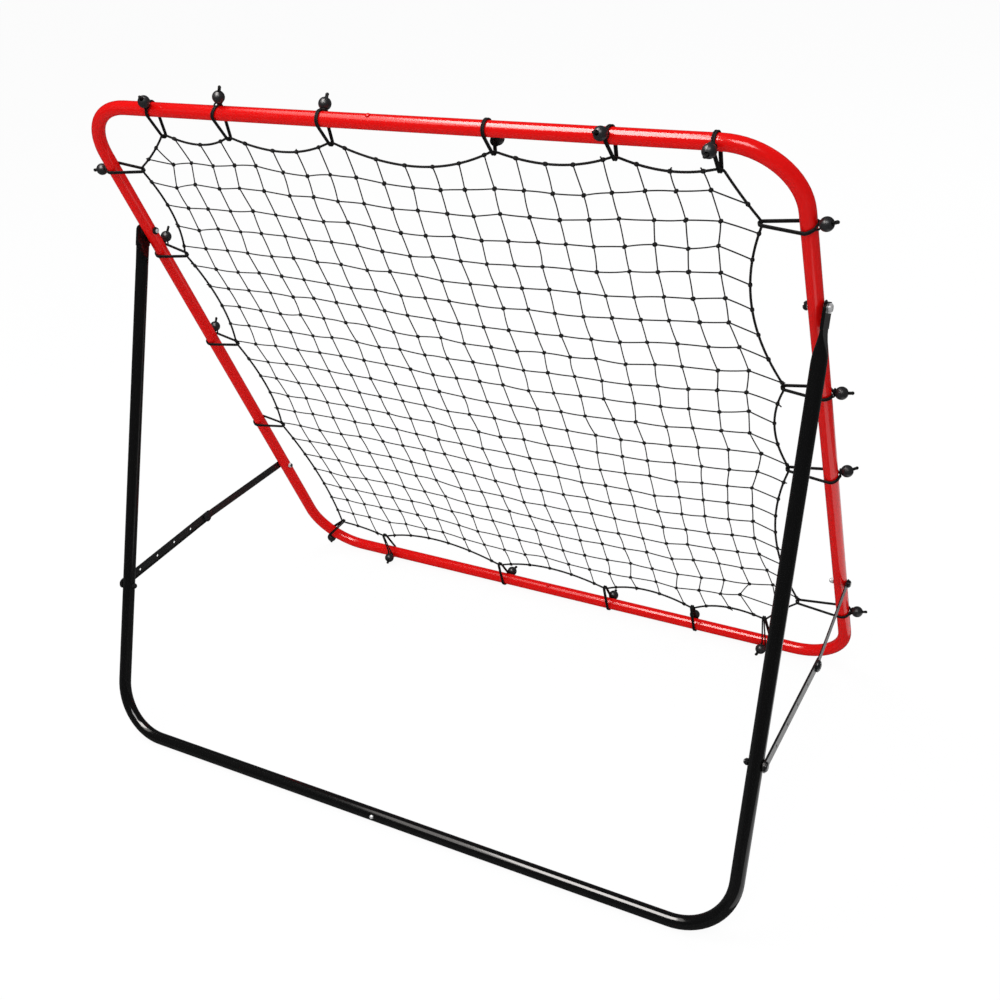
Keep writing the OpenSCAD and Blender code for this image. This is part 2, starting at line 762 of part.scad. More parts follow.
loop("bottom", bottom_ties[1]);  // bottom_loop_2
loop("bottom", bottom_ties[2]);  // bottom_loop_3
loop("bottom", bottom_ties[3]);  // bottom_loop_4
loop("bottom", bottom_ties[4]);  // bottom_loop_5
loop("corner", corner_tie);  // corner_loop
loop("left", left_ties[0]);  // left_loop_1
loop("left", left_ties[1]);  // left_loop_2
loop("left", left_ties[2]);  // left_loop_3
loop("left", left_ties[3]);  // left_loop_4
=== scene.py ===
# %% [markdown]
# # A pitch back rebounder
#
# A square frame of red steel tube holds a knotted net on elastic loops. It
# leans over a black U-shaped support, and a flat brace on each side sets the
# angle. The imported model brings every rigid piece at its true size. This
# lesson adds what is soft (the net, its border rope and the ball bungees),
# the finishes, the light and the camera.

import bpy
import numpy as np
from mathutils import Matrix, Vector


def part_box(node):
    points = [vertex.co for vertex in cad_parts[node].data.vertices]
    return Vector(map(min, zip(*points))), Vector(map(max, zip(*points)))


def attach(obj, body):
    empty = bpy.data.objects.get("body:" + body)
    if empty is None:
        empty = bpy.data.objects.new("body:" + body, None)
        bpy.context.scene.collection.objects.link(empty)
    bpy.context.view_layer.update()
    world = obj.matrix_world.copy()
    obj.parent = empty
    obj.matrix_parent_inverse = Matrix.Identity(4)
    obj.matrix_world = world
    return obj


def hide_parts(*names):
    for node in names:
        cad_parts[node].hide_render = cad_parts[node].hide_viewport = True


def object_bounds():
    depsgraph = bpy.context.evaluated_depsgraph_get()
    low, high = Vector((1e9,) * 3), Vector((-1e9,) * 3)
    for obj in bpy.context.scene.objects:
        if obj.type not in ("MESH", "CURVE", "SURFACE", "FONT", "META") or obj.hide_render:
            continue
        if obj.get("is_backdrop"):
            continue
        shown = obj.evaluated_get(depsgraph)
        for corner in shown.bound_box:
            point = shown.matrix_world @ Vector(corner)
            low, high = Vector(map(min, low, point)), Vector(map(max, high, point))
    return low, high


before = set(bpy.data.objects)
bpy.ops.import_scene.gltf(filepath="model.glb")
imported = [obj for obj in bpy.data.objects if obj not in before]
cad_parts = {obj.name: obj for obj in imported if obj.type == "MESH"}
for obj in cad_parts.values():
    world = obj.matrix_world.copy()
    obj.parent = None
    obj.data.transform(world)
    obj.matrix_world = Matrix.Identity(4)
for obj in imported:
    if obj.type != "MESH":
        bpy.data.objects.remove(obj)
cad_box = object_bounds()
scene = bpy.context.scene

# %% [markdown]
# ## The camera
#
# The camera stands to the right of the object, above it, and is rolled a
# little. A constraint could aim it at a target, but it wouldn't roll it. So
# its place and its three angles give three unit vectors here: where it looks,
# its right and its up. A small shift of the picture keeps the perspective of
# the lens and moves only the frame.

# %% Camera
EYE = np.array([0.8803, -1.3625, 1.4097])
AZIMUTH, PITCH, ROLL = np.radians([34.653, -33.066, -8.149])
FOCAL_LENGTH, SENSOR_WIDTH = 47.52, 36.0
SHIFT_X, SHIFT_Y = 0.0708, 0.0165


def placed(axes, place):
    """Matrix with three unit vectors as its first columns and a place as its last."""
    rows = [[*row] + [p] for row, p in zip(np.array(axes).T, place)]
    return Matrix(rows + [[0, 0, 0, 1]])


ahead = np.array([
    -np.sin(AZIMUTH) * np.cos(PITCH),
    np.cos(AZIMUTH) * np.cos(PITCH),
    np.sin(PITCH),
])
level = np.array([np.cos(AZIMUTH), np.sin(AZIMUTH), 0.0])
upright = np.cross(level, ahead)
right = level * np.cos(ROLL) + upright * np.sin(ROLL)
up = upright * np.cos(ROLL) - level * np.sin(ROLL)

lens = bpy.data.cameras.new("camera")
lens.lens, lens.sensor_width = FOCAL_LENGTH, SENSOR_WIDTH
lens.shift_x, lens.shift_y = SHIFT_X, SHIFT_Y
camera = bpy.data.objects.new("camera", lens)
camera.matrix_world = placed([right, up, -ahead], EYE)
scene.collection.objects.link(camera)
scene.camera = camera
print("camera at", EYE)

# %% [markdown]
# ## Light and floor
#
# A glossy tube shows what stands round it. In a plain white room its paint
# would turn grey. So the room is dark to reflections, with one long soft box
# over the net: the paint keeps its depth, and the box lies on it as a wide
# pale streak, which fades to the left where a dimmer box joins it. A pale
# card on the ground is there for the flat brace on the right.
#
# The other lamps light the matt surfaces, and all but the key are hidden from
# reflections. Where the camera itself sees the room or the floor, they are
# white paper.


# %% Node helpers
def add(tree, kind, values=None, **settings):
    """Adds a node of the kind, with its settings and the values of its inputs."""
    node = tree.nodes.new(kind)
    for key, value in settings.items():
        setattr(node, key, value)
    for key, value in (values or {}).items():
        node.inputs[key].default_value = value
    return node


def chain(tree, *steps):
    """Links output to input for each pair (output socket, input socket)."""
    for source, target in steps:
        tree.links.new(source, target)


# %% World
COOL = (0.97, 0.98, 1, 1)
WHITE = (1, 1, 1, 1)

world = bpy.data.worlds.new("studio")
world.use_nodes = True
scene.world = world
tree = world.node_tree
tree.nodes.clear()
seen = add(tree, "ShaderNodeLightPath")
either = add(tree, "ShaderNodeMath", operation="MAXIMUM")
soft = add(tree, "ShaderNodeBackground", {"Color": COOL, "Strength": 0.62})
dark = add(tree, "ShaderNodeBackground", {"Color": COOL, "Strength": 0.05})
white = add(tree, "ShaderNodeBackground", {"Color": WHITE, "Strength": 1.0})
room = add(tree, "ShaderNodeMixShader")
choose = add(tree, "ShaderNodeMixShader")
sky = add(tree, "ShaderNodeOutputWorld")
chain(
    tree,
    (seen.outputs["Is Camera Ray"], either.inputs[0]),
    (seen.outputs["Is Transmission Ray"], either.inputs[1]),
    (seen.outputs["Is Glossy Ray"], room.inputs[0]),
    (soft.outputs[0], room.inputs[1]),
    (dark.outputs[0], room.inputs[2]),
    (either.outputs[0], choose.inputs[0]),
    (room.outputs[0], choose.inputs[1]),
    (white.outputs[0], choose.inputs[2]),
    (choose.outputs[0], sky.inputs["Surface"]),
)
scene.view_settings.view_transform = "Standard"
print("world:", len(tree.nodes), "nodes")


# %% Lamps
def area_lamp(name, place, target, size, watts, colour, reflected, lighting):
    """Rectangular lamp at a place, turned so that it shines at the target. It
    shows in reflections, and lights what is matt, only where it is told to."""
    light = bpy.data.lights.new(name, "AREA")
    light.shape, light.energy, light.color = "RECTANGLE", watts, colour
    light.size, light.size_y = size
    back = np.array(place, float) - np.array(target, float)
    back /= np.linalg.norm(back)
    side = np.cross([0, 0, 1], back)
    side /= np.linalg.norm(side)
    lamp = bpy.data.objects.new(name, light)
    lamp.matrix_world = placed([side, np.cross(back, side), back], place)
    lamp.visible_glossy = reflected
    lamp.visible_diffuse = lighting
    scene.collection.objects.link(lamp)


NEUTRAL, WARM = (1, 1, 1), (1.0, 0.96, 0.93)

# name, place, target, size, watts, colour, reflected, lighting. The last
# three face straight down or up, so their targets are a hair aside.
lamps = [
    ("key", (0.8, -1.6, 3.0), (0, 0, 0.4), (1.2, 1.2), 40, NEUTRAL, True, True),
    ("fill", (-2.6, -1.8, 1.6), (0, 0, 0.4), (1.8, 1.8), 22, NEUTRAL, False, True),
    ("rim", (1.2, 2.6, 2.2), (0, 0, 0.5), (1.6, 1.6), 22, NEUTRAL, False, True),
    ("overhead", (-1.0, -0.1, 3.3), (-0.6, 0, 0), (1.6, 1.6), 40, NEUTRAL, False, True),
    ("soft_box", (-0.385, -0.73, 2.2), (-0.385, -0.7301, 0), (0.67, 1.64), 62, WARM, True, False),
    ("dim_box", (-0.96, -0.75, 2.2), (-0.96, -0.7501, 0), (0.48, 2.3), 11, WARM, True, False),
    ("card", (0.73, 0.3, 0.002), (0.73, 0.3001, 1), (0.34, 1.4), 1.3, NEUTRAL, True, False),
]
for lamp_row in lamps:
    area_lamp(*lamp_row)
print("lamps:", len(lamps))

# %% Floor
FLOOR_HALF = 9.0
FLOOR_DROP = 0.0002

floor_mesh = bpy.data.meshes.new("floor")
corners = np.array([[-1, -1, 0], [1, -1, 0], [1, 1, 0], [-1, 1, 0]]) * FLOOR_HALF
floor_mesh.from_pydata((corners - [0, 0, FLOOR_DROP]).tolist(), [], [(0, 1, 2, 3)])
floor = bpy.data.objects.new("floor", floor_mesh)
scene.collection.objects.link(floor)
floor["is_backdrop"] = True
print("floor", 2 * FLOOR_HALF, "m across")

# %% Floor paper
PAPER, PAPER_IN_GLOSS = (0.86, 0.86, 0.86, 1), (0.08, 0.08, 0.08, 1)
GLOW_SHARE = 0.93

paper = bpy.data.materials.new("pale_floor")
paper.use_nodes = True
tree = paper.node_tree
tree.nodes.clear()
seen = add(tree, "ShaderNodeLightPath")
share = add(tree, "ShaderNodeMath", {1: GLOW_SHARE}, operation="MULTIPLY")
matt = add(tree, "ShaderNodeBsdfDiffuse", {"Color": PAPER})
dim = add(tree, "ShaderNodeBsdfDiffuse", {"Color": PAPER_IN_GLOSS})
glow = add(tree, "ShaderNodeEmission", {"Color": WHITE, "Strength": 1.0})
below = add(tree, "ShaderNodeMixShader")
mixed = add(tree, "ShaderNodeMixShader")
sheet = add(tree, "ShaderNodeOutputMaterial")
chain(
    tree,
    (seen.outputs["Is Glossy Ray"], below.inputs[0]),
    (matt.outputs[0], below.inputs[1]),
    (dim.outputs[0], below.inputs[2]),
    (seen.outputs["Is Camera Ray"], share.inputs[0]),
    (share.outputs[0], mixed.inputs[0]),
    (below.outputs[0], mixed.inputs[1]),
    (glow.outputs[0], mixed.inputs[2]),
    (mixed.outputs[0], sheet.inputs["Surface"]),
)
floor_mesh.materials.append(paper)
print("floor paper glows for", GLOW_SHARE, "of what the camera sees")

# %% [markdown]
# ## Sprayed paint
#
# Sprayed gloss paint is never a perfect mirror: it has a faint waviness, like
# orange peel, and thin scuffs that dull it. A picture of such a surface could
# be wrapped round each tube, but it would stretch at the bends. Two noise
# patterns on the piece's own coordinates fit any shape. Several paints share
# them, so they are one node group with named inputs, and the shader itself
# stays in the material.


# %% Node group helper
def node_group(name, inputs, outputs):
    """Empty shader group with float inputs {name: default} and outputs {name: socket type}."""
    group = bpy.data.node_groups.new(name, "ShaderNodeTree")
    for key, value in inputs.items():
        socket = group.interface.new_socket(key, in_out="INPUT", socket_type="NodeSocketFloat")
        socket.default_value = value
    for key, kind in outputs.items():
        group.interface.new_socket(key, in_out="OUTPUT", socket_type=kind)
    return group, group.nodes.new("NodeGroupInput"), group.nodes.new("NodeGroupOutput")


# %% Paint surface group
surface_group, g_in, g_out = node_group(
    "paint_surface",
    {"Peel Size": 150.0, "Peel Height": 0.01, "Gloss": 0.2, "Scuff": 0.1},
    {"Roughness": "NodeSocketFloat", "Normal": "NodeSocketVector"},
)
place = add(surface_group, "ShaderNodeTexCoord")
peel = add(surface_group, "ShaderNodeTexNoise", {"Detail": 2.0, "Roughness": 0.5})
scuffs = add(
    surface_group, "ShaderNodeTexNoise", {"Scale": 34.0, "Detail": 8.0, "Roughness": 0.7}
)
harden = add(surface_group, "ShaderNodeMapRange", {"From Min": 0.52, "From Max": 0.74})
amount = add(surface_group, "ShaderNodeMath", operation="MULTIPLY")
total = add(surface_group, "ShaderNodeMath", operation="ADD")
bump = add(surface_group, "ShaderNodeBump", {"Distance": 0.0004})
chain(
    surface_group,
    (place.outputs["Object"], peel.inputs["Vector"]),
    (place.outputs["Object"], scuffs.inputs["Vector"]),
    (g_in.outputs["Peel Size"], peel.inputs["Scale"]),
    (scuffs.outputs["Fac"], harden.inputs["Value"]),
    (harden.outputs["Result"], amount.inputs[0]),
    (g_in.outputs["Scuff"], amount.inputs[1]),
    (amount.outputs[0], total.inputs[0]),
    (g_in.outputs["Gloss"], total.inputs[1]),
    (g_in.outputs["Peel Height"], bump.inputs["Strength"]),
    (peel.outputs["Fac"], bump.inputs["Height"]),
    (total.outputs[0], g_out.inputs["Roughness"]),
    (bump.outputs["Normal"], g_out.inputs["Normal"]),
)
print("paint_surface:", len(surface_group.nodes), "nodes")

# %% [markdown]
# ## Woven sheath
#
# The elastic cord has a braided sheath, and the rope and the twine are spun.
# Real yarns as geometry would take millions of faces. Two sine waves that
# cross each other on the piece's UV map give the same look, and the map's
# length is in metres, so the yarns keep their size on a long and a short
# cord. The wave that is higher shows on top, and the colour is painted
# lighter there and darker in the hollows between the yarns: painted light and shade.

# %% Sheath weave group, with painted shade
FULL_TURN = 6.28318

weave_and_shade_group, g_in, g_out = node_group(
    "sheath_weave_and_painted_shade",
    {"Around": 8.0, "Along": 500.0, "Light": 1.0},
    {"Height": "NodeSocketFloat", "Colour With Painted Shade": "NodeSocketColor"},
)
place = add(weave_and_shade_group, "ShaderNodeUVMap", uv_map="UVMap")
split = add(weave_and_shade_group, "ShaderNodeSeparateXYZ")
chain(weave_and_shade_group, (place.outputs["UV"], split.inputs[0]))
waves = []
for sign in ("ADD", "SUBTRACT"):
    turns = add(weave_and_shade_group, "ShaderNodeMath", operation="MULTIPLY")
    steps = add(weave_and_shade_group, "ShaderNodeMath", operation="MULTIPLY")
    phase = add(weave_and_shade_group, "ShaderNodeMath", operation=sign)
    scale = add(weave_and_shade_group, "ShaderNodeMath", {1: FULL_TURN}, operation="MULTIPLY")
    wave = add(weave_and_shade_group, "ShaderNodeMath", operation="SINE")
    chain(
        weave_and_shade_group,
        (split.outputs["X"], turns.inputs[0]),
        (g_in.outputs["Around"], turns.inputs[1]),
        (split.outputs["Y"], steps.inputs[0]),
        (g_in.outputs["Along"], steps.inputs[1]),
        (turns.outputs[0], phase.inputs[0]),
        (steps.outputs[0], phase.inputs[1]),
        (phase.outputs[0], scale.inputs[0]),
        (scale.outputs[0], wave.inputs[0]),
    )
    waves.append(wave)
over = add(weave_and_shade_group, "ShaderNodeMath", operation="MAXIMUM")
# Painted shade: the yarn colour runs from 0.55 times its tone in the hollows to 1.15 times on the
# crest of the higher wave.
painted_shade_range = add(
    weave_and_shade_group,
    "ShaderNodeMapRange",
    {"From Min": -1.0, "From Max": 1.0, "To Min": 0.55, "To Max": 1.15},
)
tone_with_painted_shade = add(weave_and_shade_group, "ShaderNodeMath", operation="MULTIPLY")
grey = add(weave_and_shade_group, "ShaderNodeCombineColor")
chain(
    weave_and_shade_group,
    (waves[0].outputs[0], over.inputs[0]),
    (waves[1].outputs[0], over.inputs[1]),
    (over.outputs[0], g_out.inputs["Height"]),
    (over.outputs[0], painted_shade_range.inputs["Value"]),
    (painted_shade_range.outputs["Result"], tone_with_painted_shade.inputs[0]),
    (g_in.outputs["Light"], tone_with_painted_shade.inputs[1]),
    (tone_with_painted_shade.outputs[0], grey.inputs[0]),
    (tone_with_painted_shade.outputs[0], grey.inputs[1]),
    (tone_with_painted_shade.outputs[0], grey.inputs[2]),
    (grey.outputs[0], g_out.inputs["Colour With Painted Shade"]),
)
print("sheath_weave_and_painted_shade:", len(weave_and_shade_group.nodes), "nodes")

# %% [markdown]
# ## The materials
#
# The net frame is sprayed red, and the support and the braces black, the
# braces with a duller coat. Bolts, nuts and screws are black or zinc plated,
# the balls are black plastic, and the clip springs inside the tubes are bare
# steel. A material could be built by hand for each of them, but they differ
# only in colour, gloss and scuffs. So one helper makes everything that is
# hard and one makes everything that is woven, and a table says which finish a
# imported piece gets.


# %% Material helpers
def new_material(name, **sockets):
    """Material with one Principled shader whose plain sockets are set by name."""
    material = bpy.data.materials.new(name)
    material.use_nodes = True
    shader = material.node_tree.nodes["Principled BSDF"]
    for key, value in sockets.items():
        shader.inputs[key.replace("_", " ")].default_value = value
    return material, material.node_tree, shader


def painted(name, colour, gloss, scuff, **sockets):
    """Sprayed paint: plain colour, orange peel and scuffs from the shared group."""
    material, tree, shader = new_material(name, Base_Color=(*colour, 1), **sockets)
    group = add(tree, "ShaderNodeGroup", node_tree=surface_group)
    group.inputs["Gloss"].default_value = gloss
    group.inputs["Scuff"].default_value = scuff
    chain(
        tree,
        (group.outputs["Roughness"], shader.inputs["Roughness"]),
        (group.outputs["Normal"], shader.inputs["Normal"]),
    )
    return material


def woven(name, shade, around, along, depth, roughness):
    """Textile: crossed yarns, so many around and so many to the metre, on the
    piece's own UV map. Fibre is dull, so it shines less than paint."""
    material, tree, shader = new_material(name, Roughness=roughness, Specular_IOR_Level=0.2)
    # The group paints the yarns lighter on their crests and darker in the hollows between them:
    # painted shade.
    group = add(tree, "ShaderNodeGroup", node_tree=weave_and_shade_group)
    group.inputs["Around"].default_value = around
    group.inputs["Along"].default_value = along
    group.inputs["Light"].default_value = shade
    bump = add(tree, "ShaderNodeBump", {"Strength": 0.6, "Distance": depth})
    chain(
        tree,
        (group.outputs["Height"], bump.inputs["Height"]),
        (group.outputs["Colour With Painted Shade"], shader.inputs["Base Color"]),
        (bump.outputs["Normal"], shader.inputs["Normal"]),
    )
    return material


# %% Materials
red_paint = painted("red_paint", (0.60, 0.0025, 0.002), 0.15, 0.04, Specular_IOR_Level=0.45)
black_paint = painted("black_paint", (0.003, 0.003, 0.003), 0.12, 0.06)
strap_paint = painted("strap_paint", (0.010, 0.010, 0.010), 0.26, 0.12)
zinc = painted("zinc", (0.80, 0.80, 0.80), 0.34, 0.16, Metallic=0.6)
black_steel = painted("black_steel", (0.012, 0.012, 0.013), 0.28, 0.16, Metallic=0.2)
spring_steel = painted("spring_steel", (0.5, 0.5, 0.5), 0.35, 0.1, Metallic=1.0)
ball_plastic = painted("ball_plastic", (0.014, 0.014, 0.015), 0.34, 0.12)
elastic = woven("elastic_sheath", 0.006, 6.0, 420.0, 0.0002, 0.75)
rope_fibre = woven("rope_fibre", 0.006, 9.0, 260.0, 0.0002, 0.8)
twine_fibre = woven("twine_fibre", 0.007, 3.0, 300.0, 0.00015, 0.8)
print("materials:", len(bpy.data.materials))

# %% Finishes of the rigid pieces
finishes = {
    "net_frame": red_paint,
    "top_snap": red_paint,
    "bottom_snap": red_paint,
    "support_leg": black_paint,
    "support_snap": zinc,
    "brace_": strap_paint,
    "channel_spacers": strap_paint,
    "pivot_washers": strap_paint,
    "lock_screw": black_steel,
    "leg_brace": black_steel,
    "frame_brace_bolts": black_steel,
    "pivot_nuts": black_steel,
}


def finish_of(name):
    """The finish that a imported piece's name starts with, or else plastic for
    the balls, spring steel for the clip springs and zinc for the rest."""
    for start, material in finishes.items():
        if name.startswith(start):
            return material
    if name.endswith("balls"):
        return ball_plastic
    return spring_steel if "spring" in name else zinc


for name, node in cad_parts.items():
    node.data.materials.clear()
    node.data.materials.append(finish_of(name))
print("finished nodes:", len(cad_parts))

# %% [markdown]
# ## Surfaces from arrays
#
# Every soft piece here is a cord carried along a path. Blender's bevelled
# curves could do that, but they give no say in where the rings lie or how
# the radius changes round them. Here a path is an array of points, and a cord
# is a grid: one row of points round the path at each step. Arrays do the
# whole grid at once, and one helper joins many grids into one mesh, with the
# cord's own length and turn as its UV map.


# %% Cord grid
def cord_grid(path, across, radius, sides, closed):
    """Points path + r (cos a side + sin a across), where side is the unit
    vector across x direction of the path, and a turns once round it. radius
    is a number or an array of one value per point and side."""
    ahead = np.roll(path, -1, 0) - np.roll(path, 1, 0) if closed else np.gradient(path, axis=0)
    ahead = ahead / np.linalg.norm(ahead, axis=1, keepdims=True)
    side = np.cross(across, ahead)
    side /= np.linalg.norm(side, axis=1, keepdims=True)
    a = 2 * np.pi * np.arange(sides) / sides
    spoke = side[:, None] * np.cos(a)[None, :, None] + across * np.sin(a)[None, :, None]
    r = np.broadcast_to(radius, (len(path), sides))
    return path[:, None] + spoke * r[:, :, None]


# %% Grids to a mesh
def join_grids(name, grids):
    """One mesh from grids (points, closed). A closed grid joins its last row
    to its first, an open one gets an end face at both ends. The UV map holds
    the turn, from 0 to 1, and the length along the path in metres."""
    points, corners, uvs, caps, start = [], [], [], [], 0
    for grid, closed in grids:
        n, m = grid.shape[:2]
        middle = grid.mean(1)
        step = np.linalg.norm(np.diff(middle, axis=0, append=middle[:1]), axis=1)
        length = np.concatenate([[0], np.cumsum(step)])
        i, j = np.meshgrid(np.arange(n if closed else n - 1), np.arange(m), indexing="ij")
        i, j = i.ravel(), j.ravel()
        i1, j1 = (i + 1) % n, (j + 1) % m
        corners.append(start + np.stack([i * m + j, i * m + j1, i1 * m + j1, i1 * m + j], 1))
        u0, u1, v0, v1 = j / m, (j + 1) / m, length[i], length[i + 1]
        uvs.append(np.stack([u0, v0, u1, v0, u1, v1, u0, v1], 1).reshape(-1, 2))
        if not closed:
            caps.append(start + np.arange(m)[::-1])
            caps.append(start + (n - 1) * m + np.arange(m))
        points.append(grid.reshape(-1, 3))
        start += n * m
    quads = np.concatenate(corners)
    faces = quads.tolist() + [cap.tolist() for cap in caps]
    mesh = bpy.data.meshes.new(name)
    mesh.from_pydata(np.concatenate(points).tolist(), [], faces)
    flat = np.concatenate(uvs + [np.zeros((len(cap), 2)) for cap in caps])
    mesh.uv_layers.new(name="UVMap").data.foreach_set("uv", flat.astype(np.float32).ravel())
    mesh.polygons.foreach_set("use_smooth", np.arange(len(mesh.polygons)) < len(quads))
    return mesh


def add_piece(name, grids, material, nodes, body="net_frame"):
    """Makes the piece, hangs it on the empty of its body and hides the imported nodes that it
    stands for.
    """
    mesh = join_grids(name, grids)
    mesh.materials.append(material)
    piece = bpy.data.objects.new(name, mesh)
    scene.collection.objects.link(piece)
    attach(piece, body)
    if nodes:
        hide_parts(*nodes)
    print(name, len(mesh.polygons), "faces")


# %% Path helpers
def even_steps(path, step, closed):
    """The same path with points at an even distance, close to the step."""
    ring = np.vstack([path, path[:1]]) if closed else path
    at = np.concatenate([[0], np.cumsum(np.linalg.norm(np.diff(ring, axis=0), axis=1))])
    count = max(3, int(round(at[-1] / step)))
    want = np.linspace(0, at[-1], count + 1)
    want = want[:-1] if closed else want
    return np.stack([np.interp(want, at, ring[:, k]) for k in range(ring.shape[1])], 1)


def soften(path, times):
    """Each point moves to the mean of itself and its neighbours, on a closed path."""
    for _ in range(times):
        path = (np.roll(path, 1, 0) + 2 * path + np.roll(path, -1, 0)) / 4
    return path


# %% [markdown]
# ## The plane of the net frame
#
# The net and its ties lie in the frame's own plane, so they are drawn there
# and not in the leaning world: x across, v up the slope from the bottom tube,
# and n towards the front. The plane's place is read from the box of the
# imported left half, so it always fits the tubes.

# %% Net frame plane
MM = 0.001
TUBE_R = 0.0095
BEND_R = 0.085
ACROSS = np.array([1.0, 0, 0])

low, high = (np.array(c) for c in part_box("net_frame_left"))
foot = np.array([0, high[1] - TUBE_R, low[2] + TUBE_R])
head = np.array([0, low[1] + TUBE_R, high[2] - TUBE_R])
FRAME_HH = np.linalg.norm(head - foot)
FRAME_HW = -low[0] - TUBE_R
UPWARD = (head - foot) / FRAME_HH
FRONT = np.cross(ACROSS, UPWARD)
STRAIGHT_X, STRAIGHT_V = FRAME_HW - BEND_R, FRAME_HH - 2 * BEND_R
print("net frame", round(2 * FRAME_HW, 4), "x", round(FRAME_HH, 4), "m between centrelines")


def in_plane(flat, n=0.0):
    """World points foot + x across + v upward + n front, for flat points (x, v)."""
    return foot + flat[:, :1] * ACROSS + flat[:, 1:2] * UPWARD + np.reshape(n, (-1, 1)) * FRONT


# %% [markdown]
# ## The ties
#
# Twenty elastic loops hold the border rope. They are hung by hand, so they
# sit at uneven places and their balls point every way. A random scatter could
# look as loose, but no single tie could then be moved without moving them
# all. So each tie is one row of a table:
#
# - its side, and its place along that side's straight run (a share of half
#   the run at top and bottom, and of the whole run at left and right);
# - the distance in mm between the rope and the tube's centreline;
# - the angle at which its ball lies round the tube (0 is outward, 90 is to
#   the front), and how far in mm the ball hangs along the tube from the loop;
# - the sag of the rope from this loop to the next, as a share of the distance.

# %% Ties
REAR = -76
PIVOT_DROP, PIVOT_TO_TIE = 224, 43
BELOW_PIVOT = (FRAME_HH - BEND_R - (PIVOT_DROP + PIVOT_TO_TIE) * MM) / STRAIGHT_V

ties = [
    ("right", 0.067, 67, -5, 5, 0.083),
    ("right", 0.4585, 56, -28, 4, 0.1),
    ("right", 0.6546, 49, -14, -1, 0.1),
    ("right", 0.974, 52, 10, 10, 0.017),
    ("top", 0.988, 36, 78, 0, 0.096),
    ("top", 0.7, 29, 46, 3, 0.1),
    ("top", 0.332, 33, -163, 0, 0.13),
    ("top", -0.224, 36, -68, 2, 0.118),
    ("top", -0.617, 39, -20, -8, 0.128),
    ("top", -0.889, 42, 25, -6, 0.026),
    ("left", 0.973, 54, 11, 1, 0.1),
    ("left", BELOW_PIVOT, 46.5, -90, -12, 0.081),
    ("left", 0.55, 49, -78, -9, 0.07),
    ("left", 0.307, 49, -38, 0, 0.05),
    ("corner", 0.0, 59, 10, 9, 0.043),
    ("bottom", -0.839, 49, 112, 6, 0.133),
    ("bottom", -0.2605, 43, REAR, 3, 0.124),
    ("bottom", 0.229, 47, REAR, -2, 0.155),
    ("bottom", 0.604, 50, REAR, -10, 0.145),
    ("bottom", 0.898, 68, 106, -5, 0.022),
]
CORNER = BEND_R * np.sin(np.pi / 4)
print("ties:", len(ties))


def tie_seat(side, share):
    """Point of the tube's centreline at the tie, and the outward direction, both in the plane."""
    seats = {
        "right": ((FRAME_HW, BEND_R + share * STRAIGHT_V), (1, 0)),
        "left": ((-FRAME_HW, BEND_R + share * STRAIGHT_V), (-1, 0)),
        "top": ((share * STRAIGHT_X, FRAME_HH), (0, 1)),
        "bottom": ((share * STRAIGHT_X, 0), (0, -1)),
        "corner": ((-STRAIGHT_X - CORNER, BEND_R - CORNER), (-np.sqrt(0.5), -np.sqrt(0.5))),
    }
    return (np.array(v, float) for v in seats[side])


# %% [markdown]
# ## The border rope
#
# A laid rope of three strands edges the net. Between two ties the net pulls
# it inward in a shallow bow, and inside a tie it runs straight for a few
# millimetres. A simulation could find the bows, but each one has its own
# depth, so they are parabolas with a sag each. The lay is in the surface: the
# radius swells three times round the rope, and the swelling turns with the
# length.

# %% Route of the rope
ROPE_R = 1.6 * MM
TIE_HALF = 3.5 * MM
SPAN_POINTS = 40


def rope_line():
    """Closed flat path: straight within each tie, and a parabola between two
    ties that bows inward by the sag of the first one."""
    spans = []
    seats = [(*tie_seat(side, share), d * MM, sag) for side, share, d, _, _, sag in ties]
    held = [(p - o * d, np.array([-o[1], o[0]]), sag) for p, o, d, sag in seats]
    for (p, along, sag), (q, beyond, _) in zip(held, held[1:] + held[:1]):
        a, b = p + along * TIE_HALF, q - beyond * TIE_HALF
        t = np.linspace(0, 1, SPAN_POINTS)[:, None]
        inward = np.array([-(b - a)[1], (b - a)[0]])
        spans.append(a + (b - a) * t + inward * sag * 4 * t * (1 - t))
    return np.concatenate(spans)


# %% Border rope
ROPE_STEP = 1.6 * MM
ROPE_SIDES = 12
ROPE_STRANDS = 3
LAY, LAY_DEPTH = 11 * MM, 0.16

rope_flat = soften(even_steps(rope_line(), ROPE_STEP, True), 3)
turn = 2 * np.pi * np.arange(ROPE_SIDES) / ROPE_SIDES
run = np.arange(len(rope_flat)) * ROPE_STEP
rope_length = run[-1] + ROPE_STEP
lay_turns = round(run[-1] / LAY)
twist = 2 * np.pi * lay_turns * run / rope_length
swell = np.abs(np.cos(ROPE_STRANDS / 2 * (turn[None, :] - twist[:, None])))
rope_radius = ROPE_R * (1 - LAY_DEPTH + LAY_DEPTH * swell)
rope_grid = cord_grid(in_plane(rope_flat), FRONT, rope_radius, ROPE_SIDES, True)
add_piece("border_rope", [(rope_grid, True)], rope_fibre, ["net_border_rope"])
print("rope length", round(rope_length, 3), "m")

# %% [markdown]
# ## The net
#
# The net has 22 by 22 meshes, knotted at every crossing. Its twines aren't
# straight: the border pulls the outer rows out of line, the rows sag towards
# the middle and rise towards the right, and each knot sits a little off. A
# cloth simulation would be slow and hard to steer on so open a net. So the
# crossings are computed first, as one grid of points, and the twines follow
# them.

# %% Net lines
LINES = 21
FIRST_COL, COL_STEP = -401.6, 39.86
FIRST_ROW, ROW_STEP = 104.2, 40.35
counted = np.arange(LINES)
cols = (FIRST_COL + COL_STEP * counted) * MM
rows = (FIRST_ROW + ROW_STEP * counted) * MM

